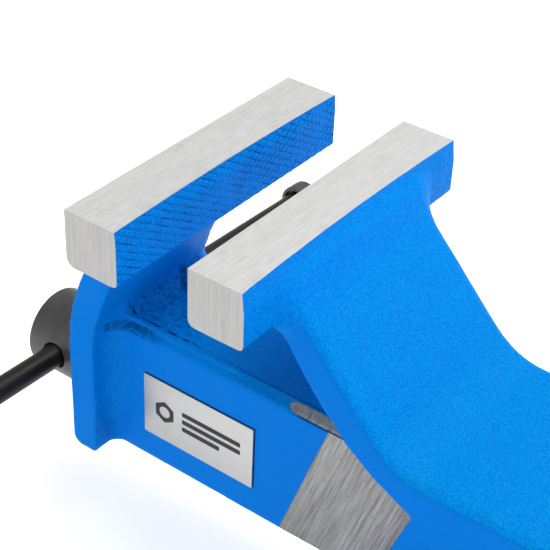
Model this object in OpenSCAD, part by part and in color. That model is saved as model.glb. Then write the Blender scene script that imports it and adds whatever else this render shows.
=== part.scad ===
// Bench vise with a box slide, a dished rear arm and a swivel base.
// Frame: millimetres, +Z up, origin at the centre of the base's underside, on the swivel axis.
// The jaws open towards -Y, where the operator stands; +X is the nameplate side.

/* [Jaws] */
// Width of the jaws
jaw_w = 150; // [148:1:156]
// Thickness of each jaw, front to back
jaw_depth = 27.4; // [25:0.1:29]
// Height of each jaw's gripping face
jaw_height = 27; // [24:0.5:28]
// Height of the jaw tops above the bench
jaw_top = 215; // [214:1:218]
// Opening between the jaws as drawn
jaw_gap = 36.8; // [5:0.1:60]
// How far the fixed jaw's gripping face stands in front of the swivel axis
jaw_overhang = 130; // [126:1:132]
// Radius on the lower edges of the jaws
jaw_corner_r = 4.5; // [1:0.5:5]
// Radius where a jaw's underside runs into its neck
neck_fillet = 11; // [6:1:12]

/* [Fixed body] */
// Width of the arm just under the fixed jaw
arm_w = 95; // [92:1:98]
// Width of the housing at its floor
housing_w = 102; // [100:1:106]
// Distance of the housing's top below the jaw tops
housing_drop = 74; // [74:1:77]
// Distance of the housing's rear face behind the fixed jaw's gripping face
housing_back = 205; // [195:1:215]
// Lean of the housing's front edge from the vertical, in degrees
mouth_lean = 20; // [15:1:22]
// Height that the anvil stands above the housing
anvil_height = 5; // [3:0.5:8]

/* [Slide] */
// Width of the box slide
slide_w = 60; // [58:1:62]
// Distance of the slide's top below the jaw tops
slide_drop = 86; // [85:1:87]
// Height of the box slide
slide_h = 74.8; // [73:0.1:75]
// Wall of the box slide
slide_wall = 10; // [9:0.5:10]
// Width of the moving jaw's front plate
plate_w = 90; // [86:1:94]
// Distance of the front plate's outer face in front of the moving jaw's front face
plate_reach = 32.3; // [31:0.1:33]
// Thickness of the front plate
plate_t = 14.5; // [14:0.5:16]
// Clearance between the slide and its tunnel, each side
slide_clear = 0.3; // [0.2:0.05:0.4]

/* [Spindle and handle] */
// Outer radius of the spindle's screw
screw_r = 12; // [11:0.5:12]
// Distance of the spindle's axis below the jaw tops
spindle_drop = 142; // [140:0.5:142]
// Radius of the spindle's head
head_r = 21; // [20:0.5:22]
// Radius of the handle bar
bar_r = 6; // [5:0.5:7]
// Length of the handle over its two end caps
handle_len = 300; // [280:5:320]
// How far the handle is slid off centre towards -X
handle_offset = 45; // [-50:1:50]
// How far the handle is turned about the spindle, in degrees
handle_turn = 2.1; // [0:0.1:10]

/* [Swivel base] */
// Radius of the base's turntable
base_r = 84; // [82:1:86]
// Height of the base
base_h = 26; // [25:1:28]
// Radius of the ring slot that the clamp bolts run in
slot_r = 66; // [65:0.5:67]
// Diameter of the circle of the four bench bolts
bench_pcd = 196; // [192:2:204]
// Radius of the bench bolt holes
bench_hole_r = 6.5; // [5:0.5:7]

/* [Hidden] */
$fn = 96;

// Colours
paint = [0.01, 0.42, 0.88];
ground = [0.80, 0.80, 0.80];
black_oxide = [0.24, 0.24, 0.25];
steel = [0.62, 0.63, 0.65];
bronze = [0.72, 0.52, 0.26];

// Fits and small gaps
turn_fit = 0.06;      // radial clearance of a shaft that turns in a bore
press_fit = 0.02;     // radial clearance that stands for a press or thread fit
bar_fit = 0.08;       // radial clearance of the handle bar in the spindle's head
face_gap = 0.1;       // gap between flat faces that slide on each other
arc_step = 12;        // degrees between the points of a rounded outline corner
eps = 0.01;

// Places along Y and Z
fixed_y = -jaw_overhang;                          // fixed jaw's gripping face
moving_y = fixed_y - jaw_gap;                     // moving jaw's gripping face
jaw_bottom = jaw_top - jaw_height;
housing_top = jaw_top - housing_drop;
slide_top = jaw_top - slide_drop;
slide_bottom = slide_top - slide_h;
tunnel_top = slide_top + slide_clear;
tunnel_bottom = slide_bottom - slide_clear;
spindle_z = jaw_top - spindle_drop;

jaw_inner_r = 2.5;                                // lower edges of the jaws' rear faces

// Fixed body
arm_start = 12;                                   // arm's top starts this far below the jaw top
arm_slope = 47.5;                                 // slope of the arm's top, degrees
arm_run = (housing_drop - arm_start) / tan(arm_slope);
mouth = [fixed_y + 93.3, jaw_top - 92.8];         // corner where the arm meets the housing's front
floor_t = 17.5;                                   // floor under the tunnel
foot_bottom = base_h + face_gap;
foot_top = foot_bottom + 12;
foot_r = 72;
ear_r = 15;
floor_bottom = tunnel_bottom - floor_t;
housing_end = fixed_y + housing_back;
anvil_len = 44;
anvil_w = 78;

// Moving jaw
jaw_front = moving_y - jaw_depth;
plate_front = jaw_front - plate_reach;
plate_back = plate_front + plate_t;
boss_r = 24;
boss_h = 6;
boss_front = plate_front - boss_h;
slide_end = plate_back + 336;
chamfer = [5, 4];                                 // slide's top chamfer, across and down
channel_w = slide_w - 2 * slide_wall;
channel_top = slide_top - slide_wall - 2;

// Spindle
washer_t = 2;
head_back = boss_front - washer_t - 2 * face_gap;
head_front = head_back - 45.3;
journal_r = screw_r + 0.5;
journal_end = plate_back + 26;
screw_end = slide_end - 10;
bar_y = head_back - 27.5;
spring_start = plate_back + 0.5;
spring_len = 13;
spring_wire = 1.4;
spring_turns = 4;
keeper_start = spring_start + spring_len + 0.5;
keeper_t = 2.5;
pin_r = 2;
pin_y = keeper_start + keeper_t + pin_r + face_gap;
pin_len = 36;

// Handle
cap_len = 13;
cap_r = 9.5;
cap_mouth_r = 7.2;
cap_mouth_depth = 3;
cap_wall = 3;

// Spindle nut
nut_w = 38;
nut_len = 32;
nut_front = fixed_y + 84;
nut_top = spindle_z + 19;
nut_screw_r = 4;
nut_screw_x = 13;
nut_screw_len = 29;
nut_screw_y = nut_front + nut_len / 2;
nut_thread_depth = 9;
nut_counterbore = 9;

// Nameplate
name_len = 64;
name_h = 34.5;
name_t = 0.8;
name_y = fixed_y - 63.2;
name_top = slide_top - 24.5;

// Swivel hardware
lug_r = 15;
lug_h = 14;
slot_half = 5.5;
tee_half = 9;
tee_z = [6, 15];
pivot_r = 8;
pivot_head_r = 13.9;
pivot_pocket = [17, 13.5];                        // radius and depth of the bolt head's pocket
pivot_top = foot_bottom + 20;
clamp_r = 5;
clamp_top = foot_top + 18;
clamp_washer_t = 2;
clamp_nut_bottom = foot_top + clamp_washer_t;
clamp_nut_r = 10.5;
clamp_nut_h = 30;
clamp_thread_depth = 18;
clamp_bar_r = 4.5;
clamp_bar_z = clamp_nut_bottom + 23.5;
clamp_bar_reach = 72;
clamp_ball_r = 8;
clamp_rest = 50;                                  // clamped handles trail this far behind X

// ---- helpers ----

function unit(v) = v / norm(v);

// Points of the arc of radius r that rounds corner p between neighbours a and b.
function round_corner(a, p, b, r) =
    let (
        u = unit(a - p),
        v = unit(b - p),
        half = acos(u * v) / 2,
        centre = p + unit(u + v) * r / sin(half),
        from = p + u * r / tan(half) - centre,
        to = p + v * r / tan(half) - centre,
        start = atan2(from.y, from.x),
        turn = (atan2(to.y, to.x) - start + 540) % 360 - 180,
        n = max(2, ceil(abs(turn) / arc_step))
    )
    [for (i = [0:n]) centre + r * [cos(start + turn * i / n), sin(start + turn * i / n)]];

// A closed outline from corners [x, y, radius].
function outline(c) =
    let (n = len(c))
    [for (i = [0:n - 1])
        let (a = c[(i + n - 1) % n], p = c[i], b = c[(i + 1) % n])
        each (p[2] == 0
            ? [[p.x, p.y]]
            : round_corner([a.x, a.y], [p.x, p.y], [b.x, b.y], p[2]))];

// The same corners mirrored to -X, so that a half outline becomes a whole one.
function both_sides(c) = concat(c, [for (i = [len(c) - 1:-1:0]) [-c[i].x, c[i].y, c[i][2]]]);

// Extrude a Y-Z outline across X, centred.
module across(w) {
    rotate([90, 0, 90]) linear_extrude(w, center = true) children();
}

// Extrude an X-Z outline along Y, from y0 to y1.
module along(y0, y1) {
    translate([0, y1, 0]) rotate([90, 0, 0]) linear_extrude(y1 - y0) children();
}

// Solid of revolution about the Y line through (x, z); outline points are [radius, y].
module turned_y(x, z, pts) {
    translate([x, 0, z]) rotate([-90, 0, 0]) rotate_extrude() polygon(pts);
}

// Cylinder along Y from y0 to y1.
module rod_y(r, y0, y1, z) {
    translate([0, y0, z]) rotate([-90, 0, 0]) cylinder(r = r, h = y1 - y0);
}

module at_ends_x(x) {
    for (side = [-1, 1]) translate([side * x, 0, 0]) children();
}

module at_bench_bolts() {
    for (a = [45:90:315]) rotate(a) translate([bench_pcd / 2, 0, 0]) children();
}

// A jaw, given its two faces along Y and the radii of their lower edges.
module jaw_block(y0, y1, r0, r1) {
    across(jaw_w) polygon(outline([
        [y0, jaw_top, 0], [y0, jaw_bottom, r0], [y1, jaw_bottom, r1], [y1, jaw_top, 0]
    ]));
}

// Outline of a neck seen from the front, flared where it meets the jaw it carries.
module neck_front_view(w_top, w_bottom, bottom, foot_round) {
    flare = w_top / 2 + neck_fillet;
    polygon(outline(both_sides([
        [flare, jaw_top, 0],
        [flare, jaw_bottom, 0],
        [w_top / 2, jaw_bottom, neck_fillet - 0.5],
        [w_bottom / 2, bottom, foot_round]
    ])));
}

// ---- castings ----

// Side view of the fixed body: jaw, arm, housing.
module static_side_view() {
    back = fixed_y + jaw_depth;
    mouth_foot = mouth.x - (mouth.y - floor_bottom) * tan(mouth_lean);
    polygon(outline([
        [fixed_y, jaw_top, 0],
        [back, jaw_top, 0],
        [back, jaw_top - arm_start, 12],
        [back + arm_run, housing_top, 30],
        [housing_end, housing_top, 6],
        [housing_end, floor_bottom, 0],
        [mouth_foot, floor_bottom, 0],
        [mouth.x, mouth.y, 2],
        [fixed_y + 57.5, jaw_top - 76.7, 130],
        [fixed_y + 20.8, jaw_bottom, 6],
        [fixed_y, jaw_bottom, jaw_corner_r - 1]
    ]));
}

module static_foot() {
    translate([0, 0, foot_bottom]) {
        cylinder(r = foot_r, h = foot_top - foot_bottom);
        at_ends_x(slot_r) cylinder(r = ear_r, h = foot_top - foot_bottom);
    }
    translate([0, 0, foot_bottom]) cylinder(r = 58, h = floor_bottom - foot_bottom + eps);
}

module static_body() {
    color(paint) difference() {
        union() {
            jaw_block(fixed_y, fixed_y + jaw_depth, jaw_corner_r - 1, jaw_inner_r);
            intersection() {
                across(jaw_w) static_side_view();
                along(fixed_y, housing_end)
                    neck_front_view(arm_w, housing_w, floor_bottom, 0);
            }
            static_foot();
            translate([-anvil_w / 2, housing_end - anvil_len - 2, housing_top - 1])
                cube([anvil_w, anvil_len, anvil_height + 1]);
        }
        // tunnel for the slide
        translate([-slide_w / 2 - slide_clear, fixed_y, tunnel_bottom])
            cube([slide_w + 2 * slide_clear, housing_back + 10, tunnel_top - tunnel_bottom]);
        // holes for the nut's screws, sunk from below
        for (side = [-1, 1]) translate([side * nut_screw_x, nut_screw_y, foot_bottom - 1]) {
            cylinder(r = nut_screw_r + 0.5, h = 60);
            cylinder(r = 8, h = nut_counterbore + 1);
        }
        // threaded hole for the pivot bolt
        translate([0, 0, foot_bottom - 1]) cylinder(r = pivot_r + press_fit, h = 23);
        // clamp bolt holes in the ears
        at_ends_x(slot_r)
            translate([0, 0, foot_bottom - 1]) cylinder(r = clamp_r + 0.5, h = 20);
    }
}

// Side view of the moving jaw and its front plate.
module moving_side_view() {
    polygon(outline([
        [moving_y, jaw_top, 0],
        [moving_y, jaw_bottom, jaw_inner_r],
        [moving_y - 20, jaw_bottom, 6],
        [plate_back, jaw_top - 87.8, 90],
        [plate_back, slide_bottom, 2],
        [plate_front, slide_bottom, 5],
        [plate_front, jaw_top - 82.4, 100],
        [jaw_front, jaw_top - 8.5, 12],
        [jaw_front, jaw_top, 0]
    ]));
}

// Front view of the slide: a box with an open underside.
module slide_front_view() {
    polygon(outline(both_sides([
        [slide_w / 2 - chamfer.x, slide_top, 0],
        [slide_w / 2, slide_top - chamfer.y, 0],
        [slide_w / 2, slide_bottom, 0],
        [channel_w / 2, slide_bottom, 0],
        [channel_w / 2, channel_top, 0]
    ])));
}

module moving_jaw() {
    color(paint) difference() {
        union() {
            jaw_block(jaw_front, moving_y, jaw_corner_r, jaw_inner_r);
            intersection() {
                across(jaw_w) moving_side_view();
                along(plate_front, moving_y)
                    neck_front_view(plate_w, plate_w, slide_bottom, 3);
            }
            along(plate_back - 1, slide_end) slide_front_view();
            rod_y(boss_r, boss_front, plate_back, spindle_z);
        }
        rod_y(journal_r + turn_fit, boss_front - 1, plate_back + 1, spindle_z);
    }
}

module nameplate() {
    color(ground) translate([slide_w / 2, name_y, name_top - name_h])
        cube([name_t, name_len, name_h]);
}

// ---- spindle and its retainer ----

module spindle() {
    color(black_oxide) difference() {
        turned_y(0, spindle_z, [
            [0, head_front], [head_r - 2, head_front], [head_r - 0.6, head_front + 0.6],
            [head_r, head_front + 2], [head_r, head_back - 1], [head_r - 1, head_back],
            [journal_r, head_back], [journal_r, journal_end], [screw_r, journal_end + 0.5],
            [screw_r, screw_end - 2.5], [screw_r - 2.5, screw_end], [0, screw_end]
        ]);
        // cross hole for the handle
        on_handle_axis() cylinder(r = bar_r + bar_fit, h = 3 * head_r, center = true);
        // cross hole for the cotter pin
        translate([0, pin_y, spindle_z]) cylinder(r = pin_r + press_fit, h = 40, center = true);
    }
}

module thrust_washer() {
    y0 = boss_front - face_gap - washer_t;
    color(steel) turned_y(0, spindle_z, [
        [journal_r + 0.3, y0], [20, y0], [20, y0 + washer_t], [journal_r + 0.3, y0 + washer_t]
    ]);
}

// Rings of the coil: 8 points round the wire at each of n places along the helix.
module retainer_spring() {
    sides = 8;
    n = spring_turns * 18;
    coil_r = journal_r + spring_wire + 0.6;
    span = spring_len - 2 * spring_wire;
    points = [for (i = [0:n], k = [0:sides - 1])
        let (
            a = 360 * spring_turns * i / n,
            w = 360 * k / sides,
            r = coil_r + spring_wire * cos(w),
            y = spring_start + spring_wire + span * i / n + spring_wire * sin(w)
        )
        [r * cos(a), y, spindle_z + r * sin(a)]];
    walls = [for (i = [0:n - 1], k = [0:sides - 1])
        let (a = i * sides + k, b = i * sides + (k + 1) % sides)
        [a, b, b + sides, a + sides]];
    start = [for (k = [sides - 1:-1:0]) k];
    finish = [for (k = [0:sides - 1]) n * sides + k];
    color(steel) polyhedron(points, concat([start], walls, [finish]));
}

module spring_washer() {
    y1 = keeper_start + keeper_t;
    color(steel) turned_y(0, spindle_z, [
        [journal_r + 0.2, keeper_start], [17, keeper_start], [17, y1], [journal_r + 0.2, y1]
    ]);
}

module cotter_pin() {
    color(steel) translate([0, pin_y, spindle_z]) cylinder(r = pin_r, h = pin_len, center = true);
}

// ---- spindle nut ----

module spindle_nut() {
    color(bronze) difference() {
        translate([-nut_w / 2, nut_front, tunnel_bottom])
            cube([nut_w, nut_len, nut_top - tunnel_bottom]);
        rod_y(screw_r + turn_fit, nut_front - 1, nut_front + nut_len + 1, spindle_z);
        for (side = [-1, 1]) translate([side * nut_screw_x, nut_screw_y, tunnel_bottom - 1])
            cylinder(r = nut_screw_r + press_fit, h = nut_thread_depth + 1.5);
    }
}

module at_nut_screws(z) {
    for (side = [-1, 1]) translate([side * nut_screw_x, nut_screw_y, z]) children();
}

module nut_screws() {
    seat = foot_bottom + nut_counterbore - 1.5;
    head_h = 6.5;
    color(steel) at_nut_screws(seat - head_h) difference() {
        union() {
            cylinder(r = 6.5, h = head_h);
            cylinder(r = nut_screw_r, h = tunnel_bottom + nut_thread_depth - seat + head_h);
        }
        translate([0, 0, -1]) cylinder(r = 3.4, h = 4.5, $fn = 6);
    }
}

module nut_screw_washers() {
    color(steel) at_nut_screws(foot_bottom + nut_counterbore - 1.5) difference() {
        cylinder(r = 7.6, h = 1.5);
        translate([0, 0, -1]) cylinder(r = nut_screw_r + 0.3, h = 4);
    }
}

// ---- handle ----

// Places a part drawn about +Z on the handle's axis, with +Z turned to +X.
module on_handle_axis() {
    translate([0, bar_y, spindle_z]) rotate([0, 90 - handle_turn, 0]) children();
}

module handle_bar() {
    color(black_oxide) on_handle_axis() translate([0, 0, -handle_offset])
        cylinder(r = bar_r, h = handle_len - 2 * cap_wall, center = true);
}

// End cap on the +1 or -1 end of the bar.
module handle_cap(side) {
    color(black_oxide) on_handle_axis() translate([0, 0, -handle_offset])
        rotate([0, side < 0 ? 180 : 0, 0]) translate([0, 0, handle_len / 2 - cap_len])
        rotate_extrude() polygon([
        [cap_mouth_r, 0], [cap_r - 1, 0], [cap_r, 1], [cap_r, cap_len - 4],
        [cap_r - 1.2, cap_len - 1.2], [cap_r - 4, cap_len], [0, cap_len],
        [0, cap_len - cap_wall], [bar_r + press_fit, cap_len - cap_wall],
        [bar_r + press_fit, cap_mouth_depth], [cap_mouth_r, cap_mouth_depth]
    ]);
}

module handle_cap_left() {
    handle_cap(-1);
}

module handle_cap_right() {
    handle_cap(1);
}

// ---- swivel base ----

module swivel_base() {
    color(paint) difference() {
        union() {
            cylinder(r = base_r, h = base_h);
            at_bench_bolts() {
                cylinder(r = lug_r, h = lug_h);
                translate([-40, -lug_r, 0]) cube([40, 2 * lug_r, lug_h]);
            }
        }
        at_bench_bolts() translate([0, 0, -1]) cylinder(r = bench_hole_r, h = lug_h + 2);
        // ring slot with its undercut
        rotate_extrude() polygon([
            [slot_r - tee_half, tee_z[0]], [slot_r + tee_half, tee_z[0]],
            [slot_r + tee_half, tee_z[1]], [slot_r + slot_half, tee_z[1]],
            [slot_r + slot_half, base_h + 1], [slot_r - slot_half, base_h + 1],
            [slot_r - slot_half, tee_z[1]], [slot_r - tee_half, tee_z[1]]
        ]);
        // opening at the rear where the clamp bolts are dropped in
        translate([0, slot_r, tee_z[0]]) cylinder(r = tee_half, h = base_h);
        translate([0, 0, -1]) {
            cylinder(r = pivot_r + turn_fit, h = base_h + 2);
            cylinder(r = pivot_pocket[0], h = pivot_pocket[1] + 1);
        }
    }
}

module pivot_bolt() {
    head_h = 9.5;
    head_top = pivot_pocket[1] - face_gap - 2.5;
    color(steel) {
        translate([0, 0, head_top - head_h]) cylinder(r = pivot_head_r, h = head_h, $fn = 6);
        translate([0, 0, head_top - eps]) cylinder(r = pivot_r, h = pivot_top - head_top);
    }
}

module pivot_washer() {
    color(steel) translate([0, 0, pivot_pocket[1] - face_gap - 2.5]) difference() {
        cylinder(r = 15.5, h = 2.5);
        translate([0, 0, -1]) cylinder(r = pivot_r + 0.4, h = 5);
    }
}

// T-bolts whose square heads run in the ring slot.
module clamp_bolts() {
    head = 16;
    head_h = tee_z[1] - tee_z[0] - 0.6;
    color(steel) at_ends_x(slot_r) {
        translate([-head / 2, -head / 2, tee_z[0] + 0.5]) cube([head, head, head_h]);
        translate([0, 0, tee_z[0] + 1]) cylinder(r = clamp_r, h = clamp_top - tee_z[0] - 1);
    }
}

module clamp_washers() {
    color(steel) at_ends_x(slot_r) translate([0, 0, foot_top]) difference() {
        cylinder(r = 11.5, h = clamp_washer_t);
        translate([0, 0, -1]) cylinder(r = clamp_r + 0.4, h = 4);
    }
}

// Places a part drawn along +X at one clamp, turned to its clamped position.
module at_clamp(side) {
    translate([side * slot_r, 0, 0]) rotate(side > 0 ? -clamp_rest : 180 - clamp_rest) children();
}

module clamp_nut(side) {
    color(black_oxide) at_clamp(side) translate([0, 0, clamp_nut_bottom]) difference() {
        rotate_extrude() polygon([
            [0, 0], [clamp_nut_r, 0], [clamp_nut_r, clamp_nut_h - 4],
            [clamp_nut_r - 1.2, clamp_nut_h - 1.2], [clamp_nut_r - 4, clamp_nut_h], [0, clamp_nut_h]
        ]);
        translate([0, 0, -1]) cylinder(r = clamp_r + turn_fit, h = clamp_thread_depth + 1);
        translate([-clamp_nut_r / 2, 0, clamp_bar_z - clamp_nut_bottom]) rotate([0, 90, 0])
            cylinder(r = clamp_bar_r + press_fit, h = 2 * clamp_nut_r);
    }
}

module clamp_nut_left() {
    clamp_nut(-1);
}

module clamp_nut_right() {
    clamp_nut(1);
}

module clamp_handle(side) {
    color(black_oxide) at_clamp(side) translate([0, 0, clamp_bar_z]) {
        translate([-clamp_nut_r / 2, 0, 0]) rotate([0, 90, 0])
            cylinder(r = clamp_bar_r, h = clamp_bar_reach + clamp_nut_r / 2);
        translate([clamp_bar_reach, 0, 0]) sphere(r = clamp_ball_r);
    }
}

module clamp_handle_left() {
    clamp_handle(-1);
}

module clamp_handle_right() {
    clamp_handle(1);
}

static_body();
moving_jaw();
nameplate();
spindle();
thrust_washer();
retainer_spring();
spring_washer();
cotter_pin();
spindle_nut();
nut_screws();
nut_screw_washers();
handle_bar();
handle_cap_left();
handle_cap_right();
swivel_base();
pivot_bolt();
pivot_washer();
clamp_bolts();
clamp_washers();
clamp_nut_left();
clamp_nut_right();
clamp_handle_left();
clamp_handle_right();
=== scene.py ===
import math

import bmesh
import bpy
import numpy as np
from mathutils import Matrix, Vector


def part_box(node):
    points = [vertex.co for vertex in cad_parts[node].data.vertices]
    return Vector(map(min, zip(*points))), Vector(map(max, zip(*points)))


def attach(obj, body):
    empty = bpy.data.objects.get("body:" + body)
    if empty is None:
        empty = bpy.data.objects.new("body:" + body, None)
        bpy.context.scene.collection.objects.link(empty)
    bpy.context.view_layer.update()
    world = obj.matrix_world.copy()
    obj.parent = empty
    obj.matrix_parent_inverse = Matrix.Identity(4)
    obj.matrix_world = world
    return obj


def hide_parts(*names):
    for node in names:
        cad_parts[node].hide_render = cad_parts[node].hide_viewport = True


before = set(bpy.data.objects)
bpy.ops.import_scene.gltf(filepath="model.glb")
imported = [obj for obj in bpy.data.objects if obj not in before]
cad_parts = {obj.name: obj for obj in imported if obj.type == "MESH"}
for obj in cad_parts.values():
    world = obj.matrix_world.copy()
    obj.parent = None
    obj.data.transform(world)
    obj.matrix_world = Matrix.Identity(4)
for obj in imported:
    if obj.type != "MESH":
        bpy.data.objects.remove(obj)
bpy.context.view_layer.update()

import openvdb
from mathutils import Matrix, Vector, noise

# Lengths are millimetres in the row frame, +Z up, until new_mesh() turns them into metres.
MM = 0.001


def corners(node):
    """Lowest and highest corner of a CAD node, in millimetres."""
    low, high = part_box(node)
    return np.array(low) / MM, np.array(high) / MM


# ---- places, from the frame

BODY_LO, BODY_HI = corners("static_body")
JAW_LO, JAW_HI = corners("moving_jaw")
SPINDLE_LO, SPINDLE_HI = corners("spindle")
BAR_LO, BAR_HI = corners("handle_bar")
NAME_LO, NAME_HI = corners("nameplate")
BASE_LO, BASE_HI = corners("swivel_base")

JAW_TOP = BODY_HI[2]
JAW_HALF = JAW_HI[0]  # half the width of the jaws
FIXED_Y = BODY_LO[1]  # fixed jaw's gripping face
HOUSING_END = BODY_HI[1]
JAW_DEPTH = 27.4
JAW_HEIGHT = 27.0

BOSS_HEIGHT = 6.0
PLATE_REACH = 32.3  # front plate's face in front of the moving jaw
PLATE_T = 14.5
PLATE_HALF = 45.0
PLATE_BORE_R = 12.7
PLATE_FRONT = JAW_LO[1] + BOSS_HEIGHT
PLATE_BACK = PLATE_FRONT + PLATE_T
MOVING_Y = PLATE_FRONT + PLATE_REACH + JAW_DEPTH
SLIDE_END = JAW_HI[1]
SLIDE_HALF = NAME_LO[0]
SLIDE_BOTTOM = corners("spindle_nut")[0][2] + 0.3
SLIDE_TOP = SLIDE_BOTTOM + 74.8
SLIDE_WALL = 10.0
HOUSING_TOP = JAW_TOP - 74.0
FLOOR_BOTTOM = SLIDE_BOTTOM - 17.8

AXIS_Z = (SPINDLE_LO[2] + SPINDLE_HI[2]) / 2
HEAD_R = SPINDLE_HI[0]
HEAD_FRONT = SPINDLE_LO[1]
HEAD_LENGTH = 45.3
HEAD_BACK = HEAD_FRONT + HEAD_LENGTH
JOURNAL_R = 12.5
THREAD_R = 12.0
THREAD_ROOT = 9.5
PITCH = 5.0
CROSS_HOLE_R = 6.8
BAR_Y = (BAR_LO[1] + BAR_HI[1]) / 2
BAR_R = (BAR_HI[1] - BAR_LO[1]) / 2
HANDLE_TURN = math.radians(2.1)  # how far the handle is turned about the spindle
BAR_MIDDLE = (BAR_LO[0] + BAR_HI[0]) / 2 / math.cos(HANDLE_TURN)
BAR_HALF = ((BAR_HI[0] - BAR_LO[0]) / 2 - BAR_R * math.sin(HANDLE_TURN)) / math.cos(HANDLE_TURN)
CAP_LENGTH = 13.0
CAP_WALL = 3.0
CAP_R = 9.5

NUT_LO, NUT_HI = corners("spindle_nut")
NUT_Y = (NUT_LO[1] + NUT_HI[1]) / 2
NUT_SCREW_X = 13.0
EAR_X = (corners("clamp_nut_right")[0][0] + corners("clamp_nut_right")[1][0]) / 2
LUG_R = 15.0
LUG_AT = BASE_HI[0] - LUG_R  # x and y of a bench lug's centre
LUG_HEIGHT = 14.0
BENCH_HOLE_R = 6.5
SPRING_WIRE = 1.4
SPRING_TURNS = 4
SPRING_GAP = 0.6  # keeps the spring off the slide's cast skin
BALL_R = 8.0

ARM_HALF = 47.5  # half the fixed body's width under the jaw
HOUSING_FLARE = 3.5  # how much more at the bottom
ARM_SLOPE = 0.868  # how far the arm runs back for each millimetre down
ARM_CROWN = 2.3  # how much lower its upper surface is at the +X edge
MOUTH_Y, MOUTH_DROP = 93.3, 92.8  # mouth's upper corner, from the fixed jaw's top edge
MOUTH_LEAN = math.tan(math.radians(20))
TUNNEL_GAP = 0.5
FOOT_R = 72.0
FOOT_HEIGHT = 12.0
EAR_R = 15.0
ANVIL_HALF, ANVIL_LENGTH, ANVIL_RISE = 39.0, 44.0, 5.0

CHAMFER_SIDE, CHAMFER_DROP = 5.0, 4.0  # the slide's upper edges
BAND_START, BAND_DROP = 39.0, 6.0  # front edge of the slide's machined band, from the fixed jaw
BAND_LEAN = 0.33
STRIP_START, STRIP_INSET, STRIP_R = 22.0, 2.3, 2.6  # bare strip along each chamfer
# slope of the painted shade line at the neck's foot
NECK_FOOT_SLOPE = 0.926

VOXEL = 1.0
TABLE_VOXEL = 1.2
STOCK = 4.0  # left on a face that is cut flat afterwards
SERRATION_T = 0.5
OUTER_EDGE_R = 4.5  # lower edges of the jaws
GRIP_EDGE_R = {1: 3.5, -1: 2.5}  # lower edge of a grip; the fixed jaw is 1, the moving jaw -1
REAR_EDGE_R = 2.5
GROOVE_PITCH = 3.15
GROOVE_ANGLE = math.radians(31)
GROOVE_DEPTH = 0.4
GROOVE_HALF = 0.62


# ---- outlines

def unit(v):
    return v / np.linalg.norm(v)


def rounded(corner_list, step=8.0):
    """A closed outline from corners (a, b, radius); arcs have a point every step degrees."""
    points = []
    count = len(corner_list)
    for i, (a, b, radius) in enumerate(corner_list):
        p = np.array([a, b], float)
        if radius == 0:
            points.append(p)
            continue
        u = unit(np.array(corner_list[i - 1][:2], float) - p)
        v = unit(np.array(corner_list[(i + 1) % count][:2], float) - p)
        half = math.acos(float(np.clip(u @ v, -1, 1))) / 2
        centre = p + unit(u + v) * radius / math.sin(half)
        first = p + u * radius / math.tan(half) - centre
        last = p + v * radius / math.tan(half) - centre
        start = math.atan2(first[1], first[0])
        turn = (math.atan2(last[1], last[0]) - start + 3 * math.pi) % (2 * math.pi) - math.pi
        steps = max(2, math.ceil(abs(math.degrees(turn)) / step))
        for k in range(steps + 1):
            angle = start + turn * k / steps
            points.append(centre + radius * np.array([math.cos(angle), math.sin(angle)]))
    return np.array(points)


def rectangle(low, high, radius):
    """The outline of a rectangle between two corners, with round corners."""
    (a, b), (c, d) = low, high
    return rounded([(a, b, radius), (c, b, radius), (c, d, radius), (a, d, radius)], 30)


def mirrored(half):
    """A half outline (x >= 0, from the top down) and its mirror image, as one closed list."""
    return list(half) + [(-a, b, r) for a, b, r in reversed(half)]


# ---- distance fields

class Space:
    """A block of sample points: x, y and z are arrays that broadcast to the whole block."""

    def __init__(self, low, high, step=VOXEL):
        self.low = np.array(low, float) - 2.5 * step
        self.step = step
        count = np.ceil((np.array(high) - self.low) / step + 3).astype(int)
        x, y, z = [(self.low[i] + step * np.arange(count[i])).astype(np.float32) for i in range(3)]
        self.x, self.y, self.z = x[:, None, None], y[None, :, None], z[None, None, :]


def outline_field(a, b, points):
    """Signed distance to a closed outline in the plane of a and b."""
    nearest = np.full(np.broadcast(a, b).shape, 1e9, np.float32)
    inside = np.zeros(nearest.shape, bool)
    for (pa, pb), (qa, qb) in zip(points, np.roll(points, -1, axis=0)):
        ea, eb = qa - pa, qb - pb
        t = np.clip(((a - pa) * ea + (b - pb) * eb) / (ea * ea + eb * eb + 1e-12), 0, 1)
        nearest = np.minimum(nearest, (a - pa - ea * t) ** 2 + (b - pb - eb * t) ** 2)
        if eb != 0:
            inside ^= ((pb > b) != (qb > b)) & (a < pa + ea * (b - pb) / eb)
    return np.where(inside, -1, 1).astype(np.float32) * np.sqrt(nearest)


def both(f, g, radius):
    """What is in f and in g, with the edge where they cross rounded."""
    rim = np.sqrt(np.maximum(f + radius, 0) ** 2 + np.maximum(g + radius, 0) ** 2)
    return np.minimum(-radius, np.maximum(f, g)) + rim


def either(f, g, radius):
    """What is in f or in g, with a fillet along the corner between them."""
    return -both(-f, -g, radius)


def without(f, g, radius):
    return both(f, -g, radius)


def block(s, low, high, radius):
    """A box with rounded edges."""
    total, deepest = 0, None
    for v, lo, hi in zip((s.x, s.y, s.z), low, high):
        q = slab(v, lo, hi) + radius
        total = total + np.maximum(q, 0) ** 2
        deepest = q if deepest is None else np.maximum(deepest, q)
    return np.sqrt(total) + np.minimum(deepest, 0) - radius


def slab(v, low, high):
    return np.abs(v - (low + high) / 2) - (high - low) / 2


def ramp(v, start, end):
    """0 at start, 1 at end, and held outside."""
    return np.clip((v - start) / (end - start), 0, 1)


def disc(s, x, y, radius, low, high, edge):
    """An upright cylinder."""
    return both(np.hypot(s.x - x, s.y - y) - radius, slab(s.z, low, high), edge)


def rod_along_y(s, radius, low, high, edge):
    """A cylinder on the spindle's axis."""
    return both(np.hypot(s.x, s.z - AXIS_Z) - radius, slab(s.y, low, high), edge)


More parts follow.
